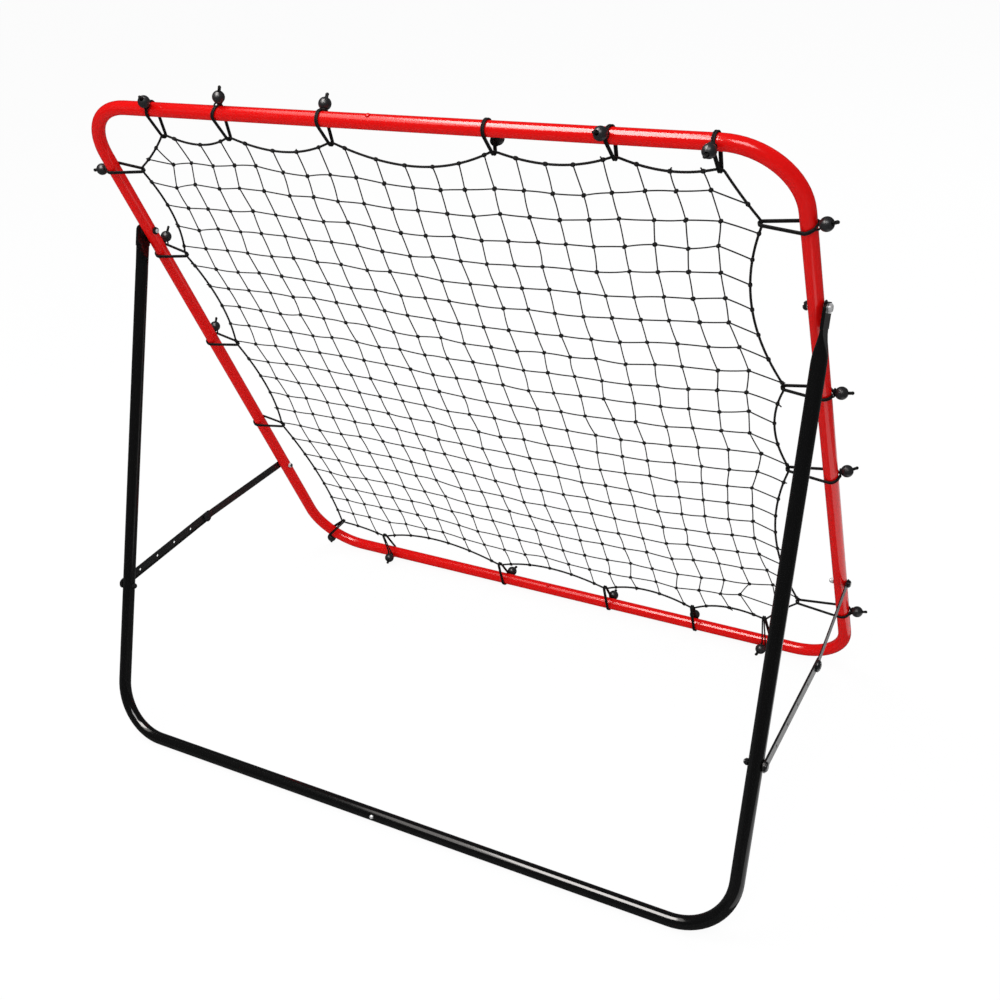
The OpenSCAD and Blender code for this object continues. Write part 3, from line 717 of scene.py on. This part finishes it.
# How far the rows lie too high at every second column, and how far each
# column leans to the right where it meets the top of the net.
ROW_RISE = [-2, 0, 1, -2, -6, -7, -7, -3, 0, 9, 19]
ROW_DRIFT = np.interp(counted, counted[::2], ROW_RISE) * MM
TOP_LEAN = np.interp(counted, [0, 14, 16, 20], [11, 8, -1, -6]) * MM
print("meshes", LINES + 1, "x", LINES + 1)


# %% Where the lines meet the rope
def border_at(value, axis):
    """Lowest and highest crossing of the rope's path with the lines where the
    coordinate of that axis has the values given."""
    a, b = rope_flat, np.roll(rope_flat, -1, 0)
    other = 1 - axis
    low_end, high_end = [], []
    for c in value:
        hit = (a[:, axis] - c) * (b[:, axis] - c) <= 0
        t = (c - a[hit, axis]) / (b[hit, axis] - a[hit, axis] + 1e-12)
        at = a[hit, other] + t * (b[hit, other] - a[hit, other])
        low_end.append(at.min())
        high_end.append(at.max())
    return np.array(low_end), np.array(high_end)


bottom_end, top_end = border_at(cols, 0)
left_end, right_end = border_at(rows, 1)
print("net", round(float((right_end - left_end).min()), 3), "m wide at its narrowest row")

# %% Net crossings
rng = np.random.default_rng(11)
KNOT_DRIFT = 1.5 * MM
SIDE_REACH, SIDE_SHARE = 120 * MM, 0.97
END_REACH, END_SHARE = 80 * MM, 0.38
LEAN_REACH = 90 * MM
KEEP = 9 * MM

gx, gv = np.meshgrid(cols, rows, indexing="ij")
drift = rng.normal(0, KNOT_DRIFT, (2, LINES, LINES))


def pull(low_end, high_end, at, reach, share):
    """Shift of a crossing between two borders: share times each border's own
    departure from its median, e times weaker for each reach away from it."""
    far = np.exp((at - high_end) / reach) * (high_end - np.median(high_end))
    return share * (far + np.exp((low_end - at) / reach) * (low_end - np.median(low_end)))


pull_x = pull(left_end[None, :], right_end[None, :], gx, SIDE_REACH, SIDE_SHARE)
pull_v = pull(bottom_end[:, None], top_end[:, None], gv, END_REACH, END_SHARE)
lean_x = TOP_LEAN[:, None] * np.exp((gv - top_end[:, None]) / LEAN_REACH)
knots = np.stack([
    gx + pull_x + lean_x + drift[0],
    gv + pull_v + ROW_DRIFT[:, None] + drift[1],
], 2)
inside = (gv > bottom_end[:, None] + KEEP) & (gv < top_end[:, None] - KEEP)
inside &= (gx > left_end[None, :] + KEEP) & (gx < right_end[None, :] - KEEP)
print("knots:", int(inside.sum()))

# %% [markdown]
# ### Twine and knots
#
# Between two knots the twine is slack enough to bow a little, each leg in its
# own way. A perfectly straight grid would look like wire. The knots are small
# hard lumps that lie across the corner of the mesh. One knot could be copied
# to every crossing, but they would look stamped. So each is an egg shape of
# its own, with its long axis on the diagonal and a size a little off.

# %% Net twine
TWINE_R = 0.9 * MM
TWINE_SIDES = 6
TWINE_STEPS = 5
BOW = 0.5 * MM
RIGHT_END_SHARE = 0.3


def twine(points, seed):
    """Path through the points: each leg between two of them bows sideways as
    half a sine wave, by a small amount of its own."""
    own = np.random.default_rng(seed)
    leg = np.diff(points, axis=0)
    side = np.stack([-leg[:, 1], leg[:, 0]], 1) / np.linalg.norm(leg, axis=1, keepdims=True)
    t = np.linspace(0, 1, TWINE_STEPS + 1)[None, :-1, None]
    sway = own.normal(0, BOW, (len(leg), 1, 1)) * np.sin(np.pi * t)
    line = points[:-1, None] + leg[:, None] * t + side[:, None] * sway
    lift = own.normal(0, 0.5 * BOW, (len(leg), 1)) * np.sin(np.pi * t[:, :, 0])
    return np.vstack([line.reshape(-1, 2), points[-1:]]), np.append(lift.ravel(), 0)


def on_rope(flat):
    """The nearest point of the border rope to each flat point."""
    return rope_flat[[np.argmin(np.linalg.norm(rope_flat - p, axis=1)) for p in flat]]


def twine_grid(flat, lift):
    """Thin open cord along a flat path with a height over the plane."""
    return cord_grid(in_plane(flat, lift), FRONT, TWINE_R, TWINE_SIDES, False), False


right_rise = RIGHT_END_SHARE * ROW_DRIFT[-1]
strands, rope_ends = [], []
for k in range(LINES):
    column = ((cols[k], bottom_end[k]), (cols[k] + TOP_LEAN[k], top_end[k]))
    row = ((left_end[k], rows[k] + ROW_DRIFT[0]), (right_end[k], rows[k] + right_rise))
    column_knots, row_knots = knots[k][inside[k]], knots[:, k][inside[:, k]]
    for axis, ends, line in ((0, column, column_knots), (1, row, row_knots)):
        first, last = on_rope(np.array(ends))
        strands.append(twine_grid(*twine(np.vstack([first, line, last]), 100 * axis + k)))
        rope_ends.extend([(first, line[0]), (last, line[-1])])
add_piece("net_twine", strands, twine_fibre, ["net_mesh"])

# %% Net knots
POLE = 0.04
LUMP_TURNS = np.linspace(0, np.pi, 7)[:, None]
KNOT_HALF = np.array([3.6, 2.9, 2.4]) * MM


def lump(centre, axes, size, sides=8):
    """Egg-shaped grid: the half axes of size along three unit vectors, from
    pole to pole along the first. Each pole keeps a tiny ring, for its end face."""
    a = 2 * np.pi * np.arange(sides) / sides
    ring = np.maximum(np.sin(LUMP_TURNS), POLE)
    u = -np.cos(LUMP_TURNS) * np.ones((1, sides)) * size[0]
    v = ring * np.cos(a) * size[1]
    n = ring * np.sin(a) * size[2]
    return centre + u[..., None] * axes[0] + v[..., None] * axes[1] + n[..., None] * axes[2]


knot_axes = ((ACROSS + UPWARD) / np.sqrt(2), (UPWARD - ACROSS) / np.sqrt(2), FRONT)
centres = in_plane(knots[inside])
sizes = rng.uniform(0.85, 1.15, (len(centres), 3)) * KNOT_HALF
knot_grids = [(lump(centre, knot_axes, size), False) for centre, size in zip(centres, sizes)]
add_piece("net_knots", knot_grids, twine_fibre, [])

# %% [markdown]
# ### Hitches on the rope
#
# Each twine ends in a hitch round the border rope: a few tight turns, which
# make a short swelling, and on some a cut end that shows. The turns are too
# fine to follow one by one, so the swelling is a short cord over the rope
# whose radius ripples.

# %% Rope hitches
HITCH_SIDES, HITCH_STEPS = 10, 11
HITCH_SEED = 500
HITCH_HALF = (2.3, 3.0)
HITCH_SWELL, HITCH_RIPPLE = 1.1 * MM, 0.08
CUT_SHARE = 0.25
CUT_LENGTH, CUT_SLANT = (2.5, 4.5), 0.9


def hitch_radius(t):
    """Radius at t, from -1 to 1: the rope's own, plus a swelling that falls as
    a cosine to both ends, with a ripple for the turns of the twine."""
    ripple = 1 + HITCH_RIPPLE * np.sin(14 * t)
    return ROPE_R + HITCH_SWELL * np.cos(1.5 * t) ** 0.7 * ripple


hitches = []
t = np.linspace(-1, 1, HITCH_STEPS)[:, None]
rope_ahead = np.roll(rope_flat, -1, 0) - rope_flat
for number, (end, neighbour) in enumerate(rope_ends):
    nearest = np.argmin(np.linalg.norm(rope_flat - end, axis=1))
    seat = rope_flat[nearest]
    along = rope_ahead[nearest] / np.linalg.norm(rope_ahead[nearest])
    own = np.random.default_rng(HITCH_SEED + number)
    middle = in_plane(seat + t * own.uniform(*HITCH_HALF) * MM * along)
    hitches.append((cord_grid(middle, FRONT, hitch_radius(t), HITCH_SIDES, False), False))
    if own.random() < CUT_SHARE:
        out = (end - neighbour) / np.linalg.norm(end - neighbour)
        cut = np.linspace(0, 1, 4)[:, None] * own.uniform(*CUT_LENGTH) * MM
        path = seat + out * (ROPE_R + cut) + along * cut * own.uniform(-CUT_SLANT, CUT_SLANT)
        hitches.append(twine_grid(path, own.uniform(-1, 1) * MM))
add_piece("rope_hitches", hitches, twine_fibre, [])

# %% [markdown]
# ## Ball bungees
#
# A ball bungee is one elastic cord, folded in two. Both ends pass through a
# plastic ball and are knotted behind it. The doubled cord goes round the tube
# and the border rope, and its fold hooks over the ball's root.
#
# Such a cord is pulled tight, so it lies on the shortest way round what it
# holds. Seen along the tube, that is two circles, round the tube and round
# the rope, joined by the lines that touch both. This is exact and needs no
# simulation. The two strands follow it side by side.

# %% Sizes of a bungee
CORD_R = 1.2 * MM
SEAT = 0.3 * MM
ROPE_GAP = 0.6 * MM
BALL_R = 8.25 * MM
ROUND_TUBE = TUBE_R + SEAT + CORD_R
ROUND_ROPE = ROPE_R + ROPE_GAP + CORD_R
BALL_AT = TUBE_R + 2 * SEAT + 2 * CORD_R + BALL_R
TAIL_AT = BALL_AT + BALL_R + 3.2 * MM
PAIR = 1.24 * MM
NECK = 1.6 * MM
HOOK = 5.2 * MM
print("a cord turns round the tube at", round(ROUND_TUBE / MM, 1), "mm")


# %% Path of one strand
def circle(centre, r, a, b):
    """Arc of a flat circle from angle a to b, in degrees."""
    t = np.radians(np.linspace(a, b, 24))
    return np.array(centre) + r * np.stack([np.cos(t), np.sin(t)], 1)


def strand_line(d, phi):
    """Open path in the plane across the tube, x outward and y to the front:
    in from the tail through the ball at phi, round the tube, round the rope at
    -d, and back round the tube to the other side of the ball's root. Beyond
    the cord's hold on the tube, the angle counts on along the strand to the
    rope, and the ball hangs on that strand. Also returns the ball's axis u,
    the direction w across it, and how far the ball has left the tube."""
    leave = 180 - np.degrees(np.arccos((ROUND_TUBE - ROUND_ROPE) / d))
    mid = np.clip(phi, -leave, leave)
    u = np.array([np.cos(np.radians(mid)), np.sin(np.radians(mid))])
    w = np.array([-u[1], u[0]])
    shift = w * BALL_AT * np.radians(phi - mid)
    away = np.linalg.norm(shift)
    tail, root, bite = u * TAIL_AT, u * (ROUND_TUBE + 2 * NECK), u * (ROUND_TUBE + NECK)
    parts = [shift + np.array([tail, root, bite - w * 0.2 * NECK])]
    if phi >= -leave:
        start = mid if away > NECK else max(mid - np.degrees(NECK / ROUND_TUBE), -leave)
        parts.append(circle((0, 0), ROUND_TUBE, start, -leave))
    parts.append(circle((-d, 0), ROUND_ROPE, -leave, leave - 360))
    if phi <= leave:
        end = mid if away > HOOK else min(mid + np.degrees(HOOK / ROUND_TUBE), leave)
        parts.append(circle((0, 0), ROUND_TUBE, leave, end))
    return np.concatenate(parts), u, w, shift


# %% Path of the whole cord
# The fold, as (along the tube, across to the strands' side, out along the
# ball's axis): it spreads, hugs the ball from below and closes beyond the neck.
FOLD = np.array([
    [2.6, 3.9, 11.2],
    [4.5, 1.2, 12.0],
    [4.6, -2.4, 12.6],
    [2.7, -5.0, 13.3],
    [0, -5.9, 13.6],
]) * MM
STRAY = 4 * MM
MOST_ASKEW = 0.75


def bungee_path(d, phi, swing):
    """Space path (out, front, along) of the whole cord: out along one strand,
    round the fold and back along the other. It runs askew towards a ball that
    hangs along the tube, less so the nearer it is to the rope."""
    line, u, w, shift = strand_line(d, phi)
    reach = max(0, -shift[0] - u[0] * (TAIL_AT + 2 * MM)) + min(STRAY, np.linalg.norm(shift))
    reach = min(MOST_ASKEW * d, reach)
    fade = 1 - np.maximum(0, -line[:, 0] - reach) / (d - reach)
    along = swing / BALL_AT * np.maximum(0, line @ u) * fade
    fold = shift + FOLD[:, 1:2] * w + FOLD[:, 2:3] * u
    hang = swing / BALL_AT * FOLD[:, 2]
    one = np.column_stack([line, along + PAIR])
    two = np.column_stack([line, along - PAIR])
    bend = np.column_stack([fold, hang + FOLD[:, 0]])
    back = np.column_stack([fold, hang - FOLD[:, 0]])[-2::-1]
    return np.vstack([one, bend, back, two[::-1]])


# %% Cords that aren't flat
ODD_WAY = FRONT + 0.31 * ACROSS + 0.17 * UPWARD


def space_cord(path, radius, sides):
    """Points path + r (cos a first + sin a second) round an open path in space.
    first is square to each step and to an odd direction that no cord follows,
    and turns over where that would flip it, so the grid never twists quickly."""
    ahead = np.gradient(path, axis=0)
    ahead /= np.linalg.norm(ahead, axis=1, keepdims=True)
    first = np.cross(ahead, ODD_WAY)
    turn = np.einsum("ij,ij->i", first, np.roll(first, 1, 0))
    first *= np.cumprod(np.where(turn[:, None] < 0, -1, 1), axis=0)
    first /= np.linalg.norm(first, axis=1, keepdims=True)
    second = np.cross(ahead, first)
    a = 2 * np.pi * np.arange(sides) / sides
    cosine, sine = np.cos(a)[None, :, None], np.sin(a)[None, :, None]
    spoke = first[:, None] * cosine + second[:, None] * sine
    return path[:, None] + spoke * np.reshape(radius, (-1, 1, 1))


def relax(path, times):
    """Each point but the two ends moves to the mean of itself and its neighbours."""
    for _ in range(times):
        path = np.vstack([path[:1], (path[:-2] + 2 * path[1:-1] + path[2:]) / 4, path[-1:]])
    return path


# %% Bungees
LOOP_STEP = 0.8 * MM
LOOP_SIDES = 10
TAIL_KNOT = np.array([2.3, 2.6, 2.1]) * MM
TAIL_KNOT_OUT = 1.2 * MM
TAIL_KNOT_SIDES = 14

cords, tail_knots, cord_lengths = {}, {}, []
for side, share, d, phi, swing, _ in ties:
    seat, outward = tie_seat(side, share)
    out = outward[0] * ACROSS + outward[1] * UPWARD
    along = np.cross(FRONT, out)
    centre = in_plane(seat[None])[0]
    flat = relax(even_steps(bungee_path(d * MM, phi, swing * MM), LOOP_STEP, False), 4)
    path = centre + flat[:, :1] * out + flat[:, 1:2] * FRONT + flat[:, 2:] * along
    cord_lengths.append(len(path) * LOOP_STEP)
    group = "bottom" if side == "corner" else side
    cords.setdefault(group, []).append((space_cord(path, CORD_R, LOOP_SIDES), False))
    ball_way = out * np.cos(np.radians(phi)) + FRONT * np.sin(np.radians(phi))
    axis = ball_way + along * swing * MM / BALL_AT
    axis /= np.linalg.norm(axis)
    across = np.cross(axis, along)
    end = (path[0] + path[-1]) / 2 + axis * TAIL_KNOT_OUT
    knot = lump(end, (axis, np.cross(across, axis), across), TAIL_KNOT, TAIL_KNOT_SIDES)
    tail_knots.setdefault(group, []).append((knot, False))
print("cord of a bungee", round(min(cord_lengths), 3), "to", round(max(cord_lengths), 3), "m")

# %% Bungees in their groups
loop_nodes = {g: [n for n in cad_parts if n.startswith(g + "_loop")] for g in cords}
loop_nodes["bottom"].append("corner_loop")
for group, grids in cords.items():
    add_piece(group + "_bungee_cords", grids, elastic, loop_nodes[group])
    add_piece(group + "_tail_knots", tail_knots[group], elastic, [])

# %% [markdown]
# ## Sizes
#
# The visual model has to fill the same box as the imported one. The soft pieces
# here stand in for the imported cords, so a cord in the wrong place would show
# as a larger box. Both boxes are measured and printed.

# %% Print the sizes
shown_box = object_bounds()
sizes = {
    "cad": [list(map(float, c)) for c in cad_box],
    "visual": [list(map(float, c)) for c in shown_box],
}
print("box", sizes)
